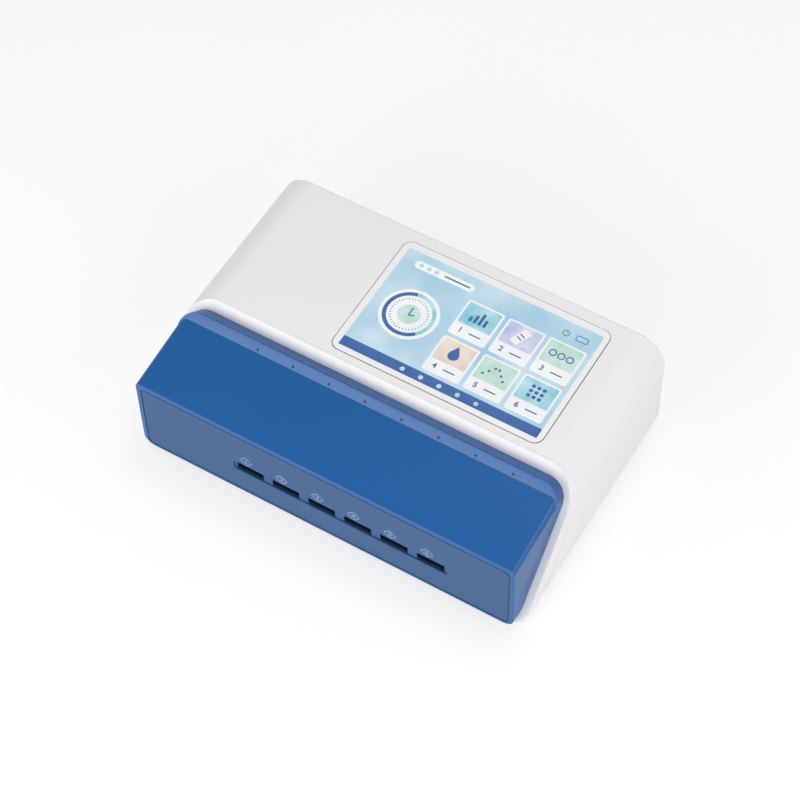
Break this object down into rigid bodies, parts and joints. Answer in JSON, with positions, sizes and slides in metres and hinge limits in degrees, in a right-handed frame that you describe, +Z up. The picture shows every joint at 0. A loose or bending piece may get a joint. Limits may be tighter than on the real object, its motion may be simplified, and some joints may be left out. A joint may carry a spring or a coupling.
{
  "type": "rapid test reader",
  "caption": "Benchtop reader for rapid test cassettes: white case with a sloping front, blue reader cover with cassette slots, touch display on top, scanning optical head inside.",
  "frame": {"origin": "middle of the footprint of the whole reader, on the surface that the rubber feet stand on", "axes": "+X to the operator's right along the slots, +Y to the back, +Z up; the operator stands at -Y"},
  "size_m": [0.3, 0.2012, 0.0894],
  "materials": {
    "case_white": "fine satin moulded ABS",
    "underside_grey": "satin moulded ABS",
    "cover_blue": "satin blue moulded ABS",
    "panel_blue": "fine matte blue moulded ABS",
    "foot_rubber": "matte",
    "screw_steel": "zinc plated",
    "glass": "polished cover glass",
    "display": "lit display panel",
    "tray_plastic": "dark moulded ABS",
    "spring_steel": "bare sheet steel",
    "ground_steel": "ground",
    "alloy": "machined and clear anodised",
    "bronze": "sintered bronze",
    "belt_rubber": "matte",
    "motor_black": "black and steel laminations",
    "head_black": "black anodised",
    "optic_glass": "polished",
    "board_green": "solder resist",
    "component_black": "moulded package",
    "lamp_clear": "clear acrylic",
    "socket_metal": "tinned shell",
    "socket_black": "moulded"
  },
  "bodies": {
    "case": {"main_housing": "case_white", "front_bezel": "case_white", "bezel_screws": "screw_steel", "base_plate": "underside_grey", "rubber_feet": "foot_rubber", "base_screws": "screw_steel", "tray_screws": "screw_steel", "reader_cover": "cover_blue", "slot_panel": "panel_blue", "cover_screws": "screw_steel", "indicator_light_pipes": "lamp_clear", "indicator_board": "board_green", "indicator_lamps": "lamp_clear", "display_glass": "glass", "display_module": "display", "display_bracket": "spring_steel", "bracket_screws": "screw_steel", "cassette_tray": "tray_plastic", "lane_springs": "spring_steel", "sensor_board": "board_green", "cassette_sensors": "component_black", "chassis_frame": "spring_steel", "chassis_screws": "screw_steel", "rod_blocks": "alloy", "guide_rods": "ground_steel", "screw_end_plate": "spring_steel", "screw_bearing": "bronze", "scan_motor": "motor_black", "motor_screws": "screw_steel", "circuit_board": "board_green", "board_screws": "screw_steel", "board_components": "component_black", "power_inlet": "socket_black", "usb_ports": "socket_metal", "network_port": "socket_black", "power_switch_frame": "socket_black"},
    "lead_screw": {"lead_screw": "ground_steel", "motor_shaft": "ground_steel", "shaft_coupling": "alloy"},
    "gantry": {"gantry_beam": "alloy", "rod_bushes": "bronze", "lead_nut": "bronze", "cross_rail": "ground_steel", "idler_pin": "ground_steel", "timing_belt": "belt_rubber", "head_motor": "motor_black"},
    "optical_head": {"rail_carriage": "ground_steel", "head_housing": "head_black", "lens_barrel": "head_black", "objective_lens": "optic_glass", "beam_splitter": "optic_glass", "excitation_lamp": "component_black", "detector_board": "board_green", "photodetector": "component_black", "belt_clamp": "head_black"},
    "drive_pulley": {"drive_pulley": "alloy", "head_motor_shaft": "ground_steel"},
    "idler_pulley": {"idler_pulley": "alloy"},
    "rocker": {"power_rocker": "socket_black"}
  },
  "joints": [
    {"name": "scan_travel", "type": "slide", "parent": "case", "child": "gantry", "axis": [0, -1, 0], "range_m": [0, 0.042]},
    {"name": "screw_turn", "type": "hinge", "parent": "case", "child": "lead_screw", "pos_m": [-0.09125, -0.03577, 0.047], "axis": [0, 1, 0], "range_deg": [0, 1890.5]},
    {"name": "head_travel", "type": "slide", "parent": "gantry", "child": "optical_head", "axis": [1, 0, 0], "range_m": [0, 0.1395]},
    {"name": "drive_pulley_turn", "type": "hinge", "parent": "gantry", "child": "drive_pulley", "pos_m": [0.09825, -0.02577, 0.063], "axis": [0, 1, 0], "range_deg": [-1256, 0]},
    {"name": "idler_pulley_turn", "type": "hinge", "parent": "gantry", "child": "idler_pulley", "pos_m": [-0.08575, -0.02777, 0.063], "axis": [0, 1, 0], "range_deg": [-1256, 0]},
    {"name": "rocker_tilt", "type": "hinge", "parent": "case", "child": "rocker", "pos_m": [-0.112, 0.09523, 0.047], "axis": [1, 0, 0], "range_deg": [-18, 0]}
  ],
  "couplings": [
    {"joint": "screw_turn", "follows": "scan_travel", "rad_per_m": 785.4},
    {"joint": "drive_pulley_turn", "follows": "head_travel", "rad_per_m": -157.08},
    {"joint": "idler_pulley_turn", "follows": "head_travel", "rad_per_m": -157.08}
  ]
}
